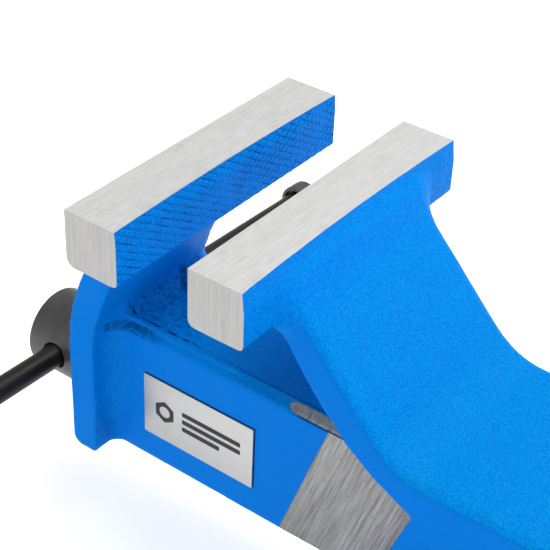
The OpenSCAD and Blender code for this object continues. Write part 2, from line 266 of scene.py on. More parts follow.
def bead(s, path, radius):
    """A round bead along a path of points."""
    nearest = None
    for p, q in zip(path[:-1], path[1:]):
        p, q = np.array(p, float), np.array(q, float)
        e = q - p
        t = np.clip(((s.x - p[0]) * e[0] + (s.y - p[1]) * e[1] + (s.z - p[2]) * e[2]) / (e @ e), 0, 1)
        d = (s.x - p[0] - e[0] * t) ** 2 + (s.y - p[1] - e[1] * t) ** 2 + (s.z - p[2] - e[2] * t) ** 2
        nearest = d if nearest is None else np.minimum(nearest, d)
    return np.sqrt(nearest) - radius


# ---- meshes

def add_object(name, data):
    obj = bpy.data.objects.new(name, data)
    bpy.context.scene.collection.objects.link(obj)
    return obj


def new_mesh(name, points, faces):
    """An object from points in millimetres and faces as lists of point numbers."""
    mesh = bpy.data.meshes.new(name)
    mesh.from_pydata((np.array(points, float) * MM).tolist(), [], [list(map(int, f)) for f in faces])
    mesh.update()
    return add_object(name, mesh)


def outward(obj):
    """Turns all faces outwards and shades the object smooth."""
    bm = bmesh.new()
    bm.from_mesh(obj.data)
    bmesh.ops.recalc_face_normals(bm, faces=bm.faces)
    bm.to_mesh(obj.data)
    bm.free()
    shade(obj)
    return obj


def shade(obj, sharp=35):
    """Smooth shading that keeps edges over sharp degrees crisp."""
    mesh = obj.data
    mesh.polygons.foreach_set("use_smooth", [True] * len(mesh.polygons))
    mesh.set_sharp_from_angle(angle=math.radians(sharp))
    mesh.update()


def from_field(name, space, field):
    """The zero surface of a field."""
    band = 3 * space.step
    grid = openvdb.FloatGrid(band)
    grid.copyFromArray(np.clip(field, -band, band).astype(np.float32))
    points, quads = grid.convertToQuads(isovalue=0.0)
    points = points * space.step + space.low
    a, b, c = points[quads[:, 0]], points[quads[:, 1]], points[quads[:, 2]]
    if np.einsum("ij,ij->i", a, np.cross(b, c)).sum() < 0:
        quads = quads[:, ::-1]
    obj = new_mesh(name, points, quads)
    shade(obj, 60)
    return obj


def cast_skin(obj, amount_at):
    """Moves each point along its normal by the slow waves and fine lumps of a sand casting.

    amount_at(place, normal) gives the lumps' size at each point, all in millimetres.
    """
    mesh = obj.data
    count = len(mesh.vertices)
    place, normal = np.empty(count * 3), np.empty(count * 3)
    mesh.vertices.foreach_get("co", place)
    mesh.vertex_normals.foreach_get("vector", normal)
    place, normal = place.reshape(-1, 3) / MM, normal.reshape(-1, 3)
    amount = amount_at(place, normal)
    for i in np.flatnonzero(amount > 0):
        p = Vector(place[i])
        lump = noise.noise(p / 9.0) + 0.55 * noise.noise(p / 3.1)
        place[i] += normal[i] * (lump * amount[i])
    mesh.vertices.foreach_set("co", (place * MM).ravel())
    mesh.update()


def apply_modifiers(obj):
    depsgraph = bpy.context.evaluated_depsgraph_get()
    done = bpy.data.meshes.new_from_object(obj.evaluated_get(depsgraph))
    obj.modifiers.clear()
    obj.data = done


def add_bevel(obj, width, angle):
    """A modifier that rounds every edge sharper than angle."""
    bevel = obj.modifiers.new("edge", "BEVEL")
    bevel.width = width * MM
    bevel.segments = 2
    bevel.limit_method = "ANGLE"
    bevel.angle_limit = math.radians(angle)


def drill(obj, cutter):
    """Takes the cutter out of obj and removes it."""
    cut = obj.modifiers.new("hole", "BOOLEAN")
    cut.operation = "DIFFERENCE"
    cut.solver = "EXACT"
    cut.object = cutter
    apply_modifiers(obj)
    bpy.data.objects.remove(cutter)
    shade(obj)


AXES = {"x": (1, 2, 0), "y": (2, 0, 1), "z": (0, 1, 2)}


def lathe(name, profile, axis, centre, sides=96):
    """Revolves an open profile of (radius, distance) about an axis; radius 0 closes an end."""
    u, v, w = AXES[axis]
    angles = 2 * math.pi * np.arange(sides) / sides
    points, rings = [], []
    for radius, t in profile:
        ring = []
        for angle in angles[:1] if radius == 0 else angles:
            p = np.array(centre, float)
            p[u] += radius * math.cos(angle)
            p[v] += radius * math.sin(angle)
            p[w] += t
            ring.append(len(points))
            points.append(p)
        rings.append(ring)
    faces = []
    pairs = zip(rings, rings[1:] + rings[:1]) if profile[0][0] > 0 else zip(rings, rings[1:])
    for low, high in pairs:
        for k in range(sides):
            m = (k + 1) % sides
            a, b, c, d = [ring[n % len(ring)] for ring, n in ((low, k), (low, m), (high, m), (high, k))]
            face = list(dict.fromkeys((a, b, c, d)))          # a pole's repeated points fall away
            if len(face) > 2:
                faces.append(face)
    return outward(new_mesh(name, points, faces))


def turned(corner_list):
    """Profile for lathe(): corners (radius, distance, rounding), open where it meets the axis."""
    return [tuple(p) for p in rounded(corner_list, step=15)]


def prism(name, points, axis, low, high):
    """A plate with the given outline, from low to high along an axis."""
    u, v, w = AXES[axis]
    count = len(points)
    solid = np.zeros((2 * count, 3))
    for layer, t in enumerate((low, high)):
        solid[layer * count:(layer + 1) * count, u] = points[:, 0]
        solid[layer * count:(layer + 1) * count, v] = points[:, 1]
        solid[layer * count:(layer + 1) * count, w] = t
    faces = [list(range(count)), list(range(2 * count - 1, count - 1, -1))]
    faces += [[k, (k + 1) % count, count + (k + 1) % count, count + k] for k in range(count)]
    return outward(new_mesh(name, solid, faces))


def tube(name, path, radius, sides=12):
    """A round wire along a path of points."""
    path = [np.array(p, float) for p in path]
    points, faces = [], []
    side = None
    for i, p in enumerate(path):
        ahead = unit(path[min(i + 1, len(path) - 1)] - path[max(i - 1, 0)])
        if side is None:
            side = unit(np.cross(ahead, [0.31, 0.2, 0.93]))
        side = unit(side - ahead * (side @ ahead))
        up = np.cross(ahead, side)
        for k in range(sides):
            a = 2 * math.pi * k / sides
            points.append(p + radius * (math.cos(a) * side + math.sin(a) * up))
    for i in range(len(path) - 1):
        for k in range(sides):
            a, b = i * sides + k, i * sides + (k + 1) % sides
            faces.append([a, b, b + sides, a + sides])
    faces.append(list(range(sides))[::-1])
    faces.append([(len(path) - 1) * sides + k for k in range(sides)])
    return outward(new_mesh(name, points, faces))


# ---- materials

class Finish:
    """A procedural material: a few nodes around one Principled shader."""

    def __init__(self, name, metallic, roughness, specular=0.5):
        self.material = bpy.data.materials.new(name)
        self.material.use_nodes = True
        self.tree = self.material.node_tree
        self.shader = self.tree.nodes["Principled BSDF"]
        for key, value in (("Metallic", metallic), ("Roughness", roughness),
                           ("Specular IOR Level", specular)):
            self.put(self.shader, key, value)
        self.place = self.node("ShaderNodeTexCoord").outputs["Object"]

    def node(self, kind, **inputs):
        n = self.tree.nodes.new(kind)
        for key, value in inputs.items():
            self.put(n, key, value)
        return n

    def put(self, n, key, value):
        socket = n.inputs[key]
        if isinstance(value, bpy.types.NodeSocket):
            self.tree.links.new(value, socket)
        else:
            socket.default_value = value

    def stretched(self, scale, turn=(0, 0, 0), vector=None):
        """Object coordinates in metres, or another vector, times a scale along each axis."""
        n = self.node("ShaderNodeMapping", Vector=self.place if vector is None else vector,
                      Scale=scale, Rotation=turn)
        return n.outputs["Vector"]

    def places(self):
        """Object coordinates x, y and z in millimetres."""
        split = self.node("ShaderNodeSeparateXYZ", Vector=self.place)
        return [self.times(split.outputs[axis], 1 / MM) for axis in "XYZ"]

    def grain(self, vector, scale=1.0, detail=3.0, roughness=0.55):
        return self.node("ShaderNodeTexNoise", Vector=vector, Scale=scale, Detail=detail,
                         Roughness=roughness).outputs["Fac"]

    def spread(self, value, low, high, to_low=0.0, to_high=1.0):
        """Maps low..high to to_low..to_high, and holds the end values outside."""
        n = self.node("ShaderNodeMapRange", Value=value)
        for key, limit in (("From Min", low), ("From Max", high), ("To Min", to_low), ("To Max", to_high)):
            self.put(n, key, limit)
        return n.outputs["Result"]

    def within(self, value, low, high, soft):
        """1 between low and high, fading to 0 over soft on both sides."""
        return self.times(self.spread(value, low - soft, low), self.spread(value, high, high + soft, 1, 0))

    def math(self, operation, first, *others):
        """Applies an operation of two values along a list of them, or one of a single value."""
        for other in others or (0.0,):
            n = self.node("ShaderNodeMath")
            n.operation = operation
            self.put(n, 0, first)
            self.put(n, 1, other)
            first = n.outputs[0]
        return first

    def times(self, *values):
        return self.math("MULTIPLY", *values)

    def plus(self, *values):
        return self.math("ADD", *values)

    def minus(self, a, b):
        return self.math("SUBTRACT", a, b)

    def least(self, *values):
        return self.math("MINIMUM", *values)

    def most(self, *values):
        return self.math("MAXIMUM", *values)

    def mixed(self, factor, a, b):
        n = self.node("ShaderNodeMix")
        n.data_type = "RGBA"
        for key, value in ((0, factor), (6, a), (7, b)):
            self.put(n, key, value)
        return n.outputs[2]

    def bump(self, height, distance, strength=1.0, under=None):
        n = self.node("ShaderNodeBump", Height=height, Distance=distance * MM, Strength=strength)
        if under is not None:
            self.put(n, "Normal", under)
        return n.outputs["Normal"]

    def facing(self, axis):
        """How squarely the surface faces along an axis of its own piece, 0 to 1."""
        normal = self.node("ShaderNodeTexCoord").outputs["Normal"]
        split = self.node("ShaderNodeSeparateXYZ", Vector=normal)
        return self.math("ABSOLUTE", split.outputs[axis])

    def finish(self, colour, roughness=None, normal=None):
        for key, value in (("Base Color", colour), ("Roughness", roughness), ("Normal", normal)):
            if value is not None:
                self.put(self.shader, key, value)
        return self.material


BLUE = (0.0, 0.228, 0.72, 1)
DEEP_BLUE = (0.0, 0.212, 0.67, 1)
# a darker blue for the X-facing sides: painted shade
SIDE_SHADE_BLUE = (0.0, 0.172, 0.64, 1)
# a greener blue for up-facing surfaces: painted sheen
UPWARD_SHEEN_BLUE = (0.0, 0.255, 0.55, 1)
PORE_BLUE = (0.0, 0.105, 0.50, 1)
# deep blue for painted shade in grooves, creases and corners
PAINTED_SHADE_BLUE = (0.0, 0.030, 0.135, 1)
RIM_BROWN = (0.16, 0.12, 0.09, 1)
RUST_BROWN = (0.16, 0.115, 0.08, 1)
STEEL_DARK = (0.125, 0.12, 0.116, 1)
STEEL_LIGHT = (0.365, 0.365, 0.36, 1)


def cast_paint(name, bare=None, dark=None):
    """Blue enamel over cast iron: coarse grain on sand-cast skin, smoother on the linished sides.

    bare(finish) gives 1 where the casting is machined bright and 0 where it is painted, and the
    distance past that line. dark(finish) gives 1 where shade is painted in: grooves, creases, corners and
    blotches.
    """
    f = Finish(name, 0.0, 0.45, specular=0.02)
    fine = f.grain(f.place, 1350, 3, 0.6)
    coarse = f.grain(f.place, 400, 3)
    slow = f.grain(f.place, 35, 2)
    smooth_side = f.spread(f.facing("X"), 0.80, 0.94)
    height = f.times(f.plus(fine, f.times(coarse, 1.2)), f.spread(smooth_side, 0, 1, 1.0, 0.18))
    shadow = f.times(f.spread(fine, 0.57, 0.43), f.spread(smooth_side, 0, 1, 0.62, 0.08))
    colour = f.mixed(f.spread(slow, 0.3, 0.7), BLUE, DEEP_BLUE)
    # the X-facing sides are painted a darker blue: painted shade on those sides
    colour = f.mixed(smooth_side, colour, SIDE_SHADE_BLUE)
    # up-facing surfaces are painted a greener blue: a painted sheen of the light from above
    colour = f.mixed(f.spread(f.facing("Z"), 0.35, 0.85, 0, 0.6), colour, UPWARD_SHEEN_BLUE)
    colour = f.mixed(shadow, colour, PORE_BLUE)
    if dark:
        # painted shade: a deep blue where dark(f) marks grooves, creases and corners
        colour = f.mixed(dark(f), colour, PAINTED_SHADE_BLUE)
    rough = f.spread(coarse, 0.35, 0.65, 0.36, 0.52)
    grain_bump = {"distance": 0.35, "strength": 0.8}
    if not bare:
        return f.finish(colour, rough, f.bump(height, **grain_bump))
    mask, past_line = bare(f)
    painted = f.spread(mask, 0, 1, 1, 0)
    steel, marks = machined_marks(f)
    steel = f.mixed(f.spread(past_line, 0.0, 0.9, 0.25, 0.0), steel, RIM_BROWN)
    f.put(f.shader, "Metallic", f.times(mask, 0.82))
    relief = f.plus(f.times(height, painted), f.times(marks, mask, 0.25))
    paint_step = 0.12
    return f.finish(f.mixed(mask, colour, steel), f.plus(f.times(rough, painted), f.times(mask, 0.42)),
                    f.bump(painted, paint_step, under=f.bump(relief, **grain_bump)))


def machined_marks(f):
    """Streaks of a coarse grinding wheel, leaning with the housing's mouth."""
    leaning = f.stretched((1, 1, 1), (math.atan(BAND_LEAN), 0, 0))
    streak = f.grain(f.stretched((1500, 2600, 60), vector=leaning), 1.0, 4, 0.7)
    wide = f.grain(f.stretched((260, 700, 22), vector=leaning), 1.0, 3, 0.6)
    lines = f.plus(f.times(streak, 0.6), f.times(wide, 0.4))
    colour = f.mixed(f.spread(lines, 0.36, 0.62), STEEL_DARK, STEEL_LIGHT)
    rust = f.spread(f.grain(f.place, 260, 4, 0.7), 0.58, 0.76, 0, 0.5)
    return f.mixed(rust, colour, RUST_BROWN), lines


def slide_bare(f):
    """Bare on the slide's sides behind a slanted line, on a strip of each chamfer, and in the housing."""
    x, y, z = f.places()
    x = f.math("ABSOLUTE", x)
    ragged = f.spread(f.grain(f.place, 420, 2), 0.3, 0.7, -0.4, 0.4)
    lean = f.times(f.minus(z, SLIDE_TOP - BAND_DROP), BAND_LEAN)
    behind = f.plus(f.minus(f.minus(y, FIXED_Y + BAND_START), lean), f.times(ragged, 0.25))
    on_side = f.least(f.minus(x, SLIDE_HALF - 0.7), f.minus(SLIDE_TOP - CHAMFER_DROP - 0.6, z))
    side = f.least(behind, f.times(on_side, 3.0))
    dx = f.minus(x, SLIDE_HALF - STRIP_INSET)
    dz = f.minus(z, SLIDE_TOP - STRIP_INSET)
    dy = f.times(f.least(f.minus(y, FIXED_Y + STRIP_START), 0.0), 0.6)
    away = f.math("SQRT", f.plus(*[f.times(d, d) for d in (dy, dx, dz)]))
    strip = f.plus(f.minus(STRIP_R, away), f.times(ragged, 0.5))
    inside = f.least(f.minus(y, FIXED_Y + 60), f.minus(z, SLIDE_BOTTOM + 60))
    depth = f.most(side, strip, inside)
    return f.spread(depth, 0.0, 0.12), depth


def slide_shade(f):
    """Painted shade on the slide in front of the fixed jaw, and the painted shadow round the nameplate.

    The shade is painted as broken lines along the upper edges, blotches on the rough top and at its corners,
    a line at the neck's foot and a line under each bare strip.
    """
    side_x, y, z = f.places()
    x = f.math("ABSOLUTE", side_x)
    chamfer_x = SLIDE_HALF - CHAMFER_SIDE
    broken = f.spread(f.grain(f.stretched((500, 160, 500)), 1.0, 3, 0.6), 0.42, 0.52)
    # painted shade along the chamfer's inner edge and crease, and in blotches on the top behind the front
    # plate
    seam = f.times(f.within(x, chamfer_x - 1.3, chamfer_x, 0.5),
                   f.within(y, PLATE_BACK + 8, PLATE_BACK + 42, 6), broken)
    crease = f.times(f.within(x, chamfer_x - 0.6, chamfer_x + 0.1, 0.4),
                     f.spread(y, PLATE_BACK + 30, FIXED_Y), 0.45)
    blotches = f.grain(f.place, 420, 4, 0.8)
    patch = f.times(f.within(y, PLATE_BACK + 6, PLATE_BACK + 34, 12), f.spread(x, 20, chamfer_x, 1, 0.15),
                    f.spread(blotches, 0.46, 0.62), 0.62)
    # painted shade along the neck's foot, where it meets the slide's top
    off_neck_foot = f.minus(y, f.plus(f.times(side_x, NECK_FOOT_SLOPE), MOVING_Y - JAW_DEPTH))
    foot_shade = f.times(f.within(off_neck_foot, -1.4, 1.4, 1.6), f.within(side_x, -18, -6, 3),
                   f.spread(blotches, 0.36, 0.50), 0.85)
    top = f.times(f.spread(z, SLIDE_TOP - 1.6, SLIDE_TOP - 0.6),
                  f.spread(z, SLIDE_TOP + 4, SLIDE_TOP + 9, 1, 0))
    on_top = f.times(f.most(seam, crease, patch, foot_shade), top)
    # painted shade in the corner where the slide's upper side meets the front plate
    corner = f.times(f.within(y, PLATE_BACK + 2, PLATE_BACK + 18, 12),
                     f.within(z, SLIDE_TOP - 5, SLIDE_TOP - 0.5, 1),
                     f.within(x, SLIDE_HALF - 3.2, SLIDE_HALF + 8, 1), f.spread(blotches, 0.30, 0.66), 0.9)
    # a painted shadow line under each bare strip
    under_strip = f.times(f.within(z, SLIDE_TOP - CHAMFER_DROP - 0.8, SLIDE_TOP - CHAMFER_DROP, 0.3),
                          f.spread(y, FIXED_Y + 18, FIXED_Y + 26, 0, 0.8))
    recess = f.times(f.within(y, NAME_LO[1] + 0.4, NAME_HI[1] + 0.6, 0.2),
                     f.within(z, NAME_LO[2] + 0.4, NAME_HI[2] + 0.6, 0.2), f.spread(side_x, 0, 1, 0, 0.95))
    return f.most(on_top, corner, recess, under_strip)


def groove_shade(f):
    """Painted shade in the crossed grooves of a gripping face."""
    x, _, z = f.places()
    lines = []
    for lean in (-GROOVE_ANGLE, GROOVE_ANGLE):
        across = f.minus(f.times(z, math.cos(lean) / GROOVE_PITCH), f.times(x, math.sin(lean) / GROOVE_PITCH))
        lines.append(f.spread(f.math("PINGPONG", across, 0.5), 0.05, 0.15, 1, 0))
    lines[0] = f.times(lines[0], f.spread(x, -45, 30, 0.95, 0.3))
    filled = f.spread(f.grain(f.place, 85, 4, 0.65), 0.38, 0.62, 0.15, 0.75)
    broken = f.spread(f.grain(f.place, 600, 2, 0.6), 0.36, 0.50, 0.35, 1.0)
    return f.times(f.most(*lines), filled, broken)


def housing_bare(f):
    """Bare inside the tunnel."""
    x, y, z = f.places()
    clear = 0.9
    reach = f.least(f.minus(SLIDE_HALF + clear, f.math("ABSOLUTE", x)), f.minus(SLIDE_TOP + clear, z),
                    f.minus(z, SLIDE_BOTTOM - clear), f.minus(y, FIXED_Y + 66))
    return f.spread(reach, 0.0, 0.2), reach


def shaded(rgb, factor):
    return tuple(min(1.0, c * factor) for c in rgb) + (1,)


def scales(axis, along, others):
    """Texture scales: one along the named axis and another along the other two."""
    return tuple(along if a == axis else others for a in "xyz")


def ground_steel(name, along, tint, contrast=0.07, roughness=0.42):
    """Surface-ground steel with streaks along one axis."""
    f = Finish(name, 0.82, roughness)
    length, width, coarser = 130.0, 4600.0, 0.3
    streak = f.grain(f.stretched(scales(along, length, width)), 1.0, 4, 0.6)
    wide = f.grain(f.stretched(scales(along, length * coarser, width * coarser)), 1.0, 2, 0.5)
    stain = f.spread(f.grain(f.place, 55, 3), 0.60, 0.80, 0, 0.35)
    streaks = f.plus(f.times(streak, 0.65), f.times(wide, 0.35))
    colour = f.mixed(f.spread(streaks, 0.36, 0.64),
                     shaded(tint, 1 - 2.2 * contrast), shaded(tint, 1 + contrast))
    return f.finish(f.mixed(stain, colour, shaded(tint, 0.62)),
                    f.spread(streak, 0.3, 0.7, roughness - 0.08, roughness + 0.12),
                    f.bump(streaks, 0.03, 0.5))


def black_oxide(name, tone):
    """Turned and blacked steel."""
    f = Finish(name, 0.55, 0.42, specular=0.4)
    cloud = f.grain(f.place, 60, 4, 0.6)
    fine = f.grain(f.place, 1400, 2, 0.6)
    dark, light = [tuple(c * t for c, t in zip(rgb, tone)) + (1,)
                   for rgb in ((0.058, 0.058, 0.058), (0.084, 0.083, 0.081))]
    return f.finish(f.mixed(f.spread(cloud, 0.35, 0.7), dark, light),
                    f.spread(cloud, 0.3, 0.7, 0.36, 0.5), f.bump(fine, 0.04, 0.5))


def plain_metal(name, colour, roughness, ring_axis=None):
    """Turned or plated metal with fine marks and clouding."""
    f = Finish(name, 0.95, roughness)
    cloud = f.grain(f.place, 90, 3, 0.6)
    marks = f.grain(f.stretched(scales(ring_axis, 4000.0, 500.0)), 1.0, 3, 0.6)
    mix = f.plus(f.times(cloud, 0.5), f.times(marks, 0.5))
    return f.finish(f.mixed(f.spread(mix, 0.36, 0.64), shaded(colour, 0.808), shaded(colour, 1.072)),
                    f.spread(marks, 0.3, 0.7, roughness - 0.06, roughness + 0.1),
                    f.bump(marks, 0.02, 0.5))


def printed_ink():
    f = Finish("plate_ink", 0.0, 0.5, specular=0.3)
    speck = f.grain(f.place, 1800, 2, 0.6)
    colour = f.mixed(f.spread(speck, 0.45, 0.8), (0.010, 0.010, 0.011, 1), (0.035, 0.035, 0.037, 1))
    return f.finish(colour, f.spread(speck, 0.3, 0.7, 0.42, 0.55), f.bump(speck, 0.01, 0.4))


PAINTED = cast_paint("cast_paint")
PAINTED_SLIDE = cast_paint("slide_paint", slide_bare, slide_shade)
PAINTED_GRIP = cast_paint("grip_paint", dark=groove_shade)
PAINTED_HOUSING = cast_paint("housing_paint", housing_bare)
GROUND_TOP = ground_steel("ground_top", "x", (0.80, 0.80, 0.79))
# the ends' ground steel has about half the tint of the tops: painted shade on the end faces
GROUND_END_SHADED = ground_steel("ground_end_shaded", "z", (0.41, 0.405, 0.40), 0.10)
BLACKED = black_oxide("black_oxide", (1.2, 1.2, 1.2))
BLACKED_BAR = black_oxide("black_bar", (0.30, 0.26, 0.20))
BRIGHT = plain_metal("bright_steel", (0.56, 0.56, 0.57), 0.32, "y")
ZINC = plain_metal("zinc_plate", (0.62, 0.64, 0.66), 0.30)
BRONZE = plain_metal("nut_bronze", (0.62, 0.42, 0.19), 0.36)
PLATE_METAL = ground_steel("plate_metal", "y", (0.50, 0.50, 0.49), 0.04, 0.40)
INK = printed_ink()


# ---- castings

def grip_lean(x, z, back):
    """How far the moving jaw's gripping face falls back towards its ground top edge."""
    if back > 0:
        return 0 * x * z
    rise = ramp(z, JAW_TOP - 7, JAW_TOP) ** 1.5
    return rise * (0.6 + 1.4 * (1 - (x / JAW_HALF) ** 2))


def jaw_blank(s, y_grip, back):
    """A jaw before grinding, behind its serrated skin; the top and ends stand proud."""
    bottom = JAW_TOP - JAW_HEIGHT
    front, rear = y_grip + back * SERRATION_T, y_grip + back * JAW_DEPTH
    section = [(front, JAW_TOP + STOCK, 0), (rear, JAW_TOP + STOCK, 0),
               (rear, bottom, REAR_EDGE_R if back > 0 else OUTER_EDGE_R), (front, bottom, GRIP_EDGE_R[back])]
    side = outline_field(s.y[0], s.z[0], rounded(section))[None, :, :]
    shape = np.maximum(side, np.abs(s.x) - JAW_HALF - STOCK)
    shape = np.maximum(shape, back * (front - s.y) + grip_lean(s.x, s.z, back))
    if back > 0:
        bow = ramp(s.z, JAW_TOP - 10, JAW_TOP) * (1.1 + 1.9 * (1 - (s.x / JAW_HALF) ** 2))
        shape = np.maximum(shape, s.y - rear + bow)
    return shape


def fixed_body():
    def at(u, w, r=0):
        return (FIXED_Y + u, JAW_TOP + w, r)

    drop = FLOOR_BOTTOM - JAW_TOP
    side_view = rounded([
        at(10, -12), at(JAW_DEPTH, -12), at(84.2, HOUSING_TOP - JAW_TOP, 34),
        (HOUSING_END, HOUSING_TOP, 6), (HOUSING_END, FLOOR_BOTTOM, 0),
        at(MOUTH_Y + (MOUTH_DROP + drop) * MOUTH_LEAN, drop), at(MOUTH_Y, -MOUTH_DROP, 2),
        at(57.5, -76.7, 130), at(20.8, -JAW_HEIGHT - 0.5, 6), at(10, -JAW_HEIGHT - 0.5)
    ])
    foot = BASE_HI[2] + 0.1
    s = Space((-JAW_HALF, FIXED_Y, foot), (JAW_HALF, HOUSING_END, JAW_TOP))
    side = outline_field(s.y[0], s.z[0], side_view)[None, :, :]
    width = np.abs(s.x) - ARM_HALF - HOUSING_FLARE * ramp(s.z, JAW_TOP - JAW_HEIGHT, FLOOR_BOTTOM)
    # the casting's upper edges are round, and its sides are linished flat through the rounding
    middle = FIXED_Y + 24.2 + ARM_SLOPE * (JAW_TOP - 19 - s.z)
    upper = ramp(s.y - middle, -3, 3) * ramp(s.z, JAW_TOP - 87, JAW_TOP - 84)
    crown = ARM_CROWN * ramp(s.x, 0, ARM_HALF) ** 2
    arm = np.maximum(both(side + crown * upper, width - 2.0, 2.6 + 4.4 * upper), width)
    shape = either(arm, jaw_blank(s, FIXED_Y, 1), 11.0)
    foot_top = foot + FOOT_HEIGHT
    feet = disc(s, 0, 0, FOOT_R, foot, foot_top, 2.0)
    for x in (-EAR_X, EAR_X):
        feet = either(feet, disc(s, x, 0, EAR_R, foot, foot_top, 2.0), 6)
    shape = either(shape, feet, 5.0)
    anvil_end = HOUSING_END - 2
    anvil = block(s, (-ANVIL_HALF, anvil_end - ANVIL_LENGTH, HOUSING_TOP - 8),
                  (ANVIL_HALF, anvil_end, HOUSING_TOP + ANVIL_RISE + 3), 2)
    shape = either(shape, anvil, 3.0)
    tunnel = block(s, (-SLIDE_HALF - TUNNEL_GAP, FIXED_Y - 20, SLIDE_BOTTOM - 0.4),
                   (SLIDE_HALF + TUNNEL_GAP, HOUSING_END + 20, SLIDE_TOP + TUNNEL_GAP), 0.4)
    shape = without(shape, tunnel, 1.0)
    for x in (-EAR_X, EAR_X):
        shape = without(shape, disc(s, x, 0, 5.6, foot - 9, foot_top + 9, 0.3), 0.5)
    for x in (-NUT_SCREW_X, NUT_SCREW_X):
        shape = without(shape, disc(s, x, NUT_Y, 8, foot - 9, foot + 9, 0.3), 0.5)
    shape = np.maximum(shape, foot - s.z)
    obj = from_field("fixed_body", s, shape)
    cast_skin(obj, skin_amount)
    grind_jaw(obj)
    grind(obj, (0, 0, HOUSING_TOP + ANVIL_RISE), (0, 0, 1), TOP_FACE,
          lambda p: abs(p.x) < (ANVIL_HALF + 3) * MM and p.y > (anvil_end - ANVIL_LENGTH - 4) * MM
          and (HOUSING_TOP + 2) * MM < p.z < (HOUSING_TOP + 14) * MM)
    for v in obj.data.vertices:
        v.co.y = min(v.co.y, HOUSING_END * MM)
    return obj


def skin_amount(place, normal):
    """Lumpiness in millimetres: less on the linished sides and none near working faces."""
    amount = 0.16 - 0.11 * ramp(np.abs(normal[:, 0]), 0.6, 0.9)
    in_tunnel = (np.abs(place[:, 0]) < SLIDE_HALF + 1.5) & (place[:, 2] < SLIDE_TOP + 1.2)
    in_tunnel &= (place[:, 1] > FIXED_Y + 40)
    under = place[:, 2] < BASE_HI[2] + 0.6
    tail = place[:, 1] > SLIDE_END - 2
    on_jaw = (place[:, 2] > JAW_TOP - JAW_HEIGHT + 1) & (np.abs(normal[:, 1]) > 0.6)
    grips = (np.abs(place[:, 1] - FIXED_Y) < 1.5) | (np.abs(place[:, 1] - MOVING_Y) < 3.5)
    amount[in_tunnel | under | tail | (on_jaw & grips)] = 0
    return amount


def moving_casting():
    def at(u, w, r=0):
        return (MOVING_Y + u, JAW_TOP + w, r)

    plate_view = rounded([
        at(-12, -12), at(-12, -26), at(-20, -26), (PLATE_BACK, JAW_TOP - 87.8, 90),
        (PLATE_BACK, SLIDE_BOTTOM, 2), (PLATE_FRONT, SLIDE_BOTTOM, 5), (PLATE_FRONT, JAW_TOP - 82.4, 100),
        at(-JAW_DEPTH, -8.5)
    ])
    s = Space((-JAW_HALF, JAW_LO[1], AXIS_Z - 24), (JAW_HALF, SLIDE_END, JAW_TOP))
    side = outline_field(s.y[0], s.z[0], plate_view)[None, :, :]
    # the neck's far rear edge is rounded much more than the others
    middle = MOVING_Y - 27 - np.clip((JAW_TOP - 26 - s.z) * 0.42, 0, 25.5)
    behind = ramp(s.y - middle, -7, 3) * ramp(s.z, JAW_TOP - 98, JAW_TOP - 88) * (s.x < 0)
    edge = 0.8 + 14.2 * behind
    waist = (0.8 + 1.6 * ramp(s.z, JAW_TOP - 30, JAW_TOP - 50)) * behind
    plate = both(side, np.abs(s.x) - PLATE_HALF + waist, edge)
    plate = either(plate, rod_along_y(s, 24, JAW_LO[1], PLATE_BACK - 4, 1.5), 3.0)
    shape = either(plate, jaw_blank(s, MOVING_Y, -1), 10.0)
    slide = slide_section(s.x, s.z)
    reach = slab(s.y, PLATE_BACK - 8, SLIDE_END + STOCK)
    fillet = 5 + 6 * ramp(s.z, SLIDE_BOTTOM + 8, SLIDE_BOTTOM + 33)
    shape = either(shape, np.maximum(slide, reach), fillet)
    shape = either(shape, flash_beads(s), 1.2)
    shape = without(shape, channel(s), 1.0)
    shape = without(shape, rod_along_y(s, PLATE_BORE_R, JAW_LO[1] - 9, PLATE_BACK + 9, 0.3), 0.8)
    obj = from_field("moving_casting", s, shape)
    cast_skin(obj, skin_amount)
    grind_jaw(obj)
    grind(obj, (0, SLIDE_END, 0), (0, 1, 0), END_FACE, lambda p: p.y > (SLIDE_END - 4) * MM)
    return obj


def slide_section(x, z):
    """The slide's section, its chamfers included."""
    points = rounded(mirrored([
        (SLIDE_HALF - CHAMFER_SIDE, SLIDE_TOP, 0.4), (SLIDE_HALF, SLIDE_TOP - CHAMFER_DROP, 0.4),
        (SLIDE_HALF, SLIDE_BOTTOM, 1)
    ]))
    return outline_field(x[:, 0, :], z[0], points)[:, None, :]


def channel(s):
    half = SLIDE_HALF - SLIDE_WALL
    return block(s, (-half, PLATE_BACK + 0.5, SLIDE_BOTTOM - 30),
                 (half, SLIDE_END + 30, SLIDE_TOP - SLIDE_WALL - 2), 3)


def flash_beads(s):
    """Ragged moulding flash along the slide's top edges and where they run into the front plate."""
    edge = [(33, 1.5, -2.5), (30.5, 2.8, 0.0), (28, 4.5, 1.4), (26.8, 9, 0.6), (26.4, 16, -0.1),
            (26.3, 34, -0.9), (25.8, 70, -1.0)]
    left, right = [bead(s, [(side * x, PLATE_BACK + y, SLIDE_TOP + z) for x, y, z in edge], 1.5)
                   for side in (-1, 1)]
    return np.minimum(left, right)


TOP_FACE, END_FACE = 1, 2  # material slots of a casting; slot 0 is its paint


